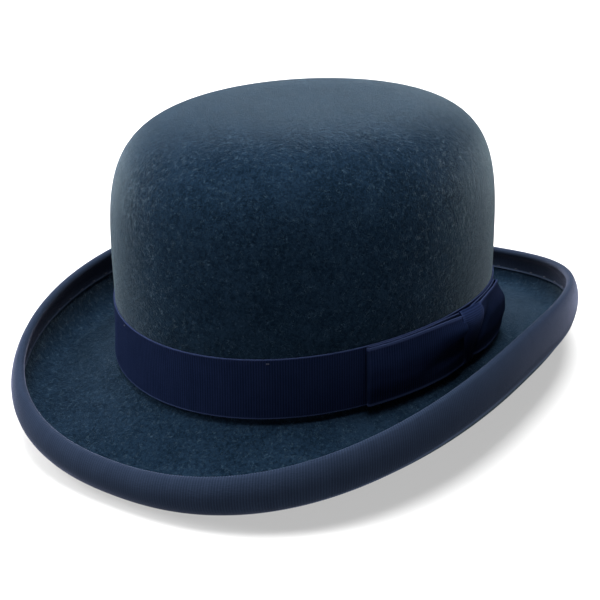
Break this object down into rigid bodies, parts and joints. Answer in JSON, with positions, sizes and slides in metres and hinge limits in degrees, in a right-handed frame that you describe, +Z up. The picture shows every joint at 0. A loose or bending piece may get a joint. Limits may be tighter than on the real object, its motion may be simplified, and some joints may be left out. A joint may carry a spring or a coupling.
{
  "type": "bowler hat",
  "caption": "Stiff felt bowler hat with a domed oval crown, a curled ribbon-bound brim, a grosgrain band with a flat side bow, and a leather sweatband and satin lining inside.",
  "frame": {"origin": "centre of the bounding box's base, on the surface that the hat stands on", "axes": "+Z up along the crown; -Y towards the front of the hat and +Y towards the back; +X towards the wearer's left, where the bow is"},
  "size_m": [0.2414, 0.3093, 0.1367],
  "materials": {
    "felt": "brushed wool felt, matte with a soft pale sheen at grazing angles",
    "grosgrain": "ribbed grosgrain ribbon, low sheen",
    "edge_ribbon": "ribbed grosgrain ribbon folded over the brim's edge, low sheen",
    "leather": "smooth tan roan leather, satin",
    "leather_trim": "thin dark leather, satin",
    "satin": "dark lining satin, glossy along the weave",
    "reed": "pale flexible plastic reed",
    "tape": "thin woven cotton tape",
    "dark_thread": "dark polyester sewing thread",
    "pale_thread": "waxed cotton thread",
    "clear_film": "clear flexible film",
    "paper": "uncoated cream card"
  },
  "bodies": {
    "root": {"felt_body": "felt", "hat_band": "grosgrain", "bow_front_loop": "grosgrain", "bow_rear_loop": "grosgrain", "bow_knot": "grosgrain", "bow_tacks": "dark_thread", "band_tacks": "dark_thread", "brim_binding": "edge_ribbon", "binding_stitches": "dark_thread", "sweatband": "leather", "sweatband_reed": "reed", "reed_tape": "tape", "sweatband_stitches": "pale_thread", "sweatband_seam_stitches": "pale_thread", "sweatband_bow": "leather_trim", "lining_side": "satin", "lining_tip": "satin", "lining_piping": "satin", "lining_guard": "clear_film", "size_ticket": "paper"}
  },
  "joints": []
}
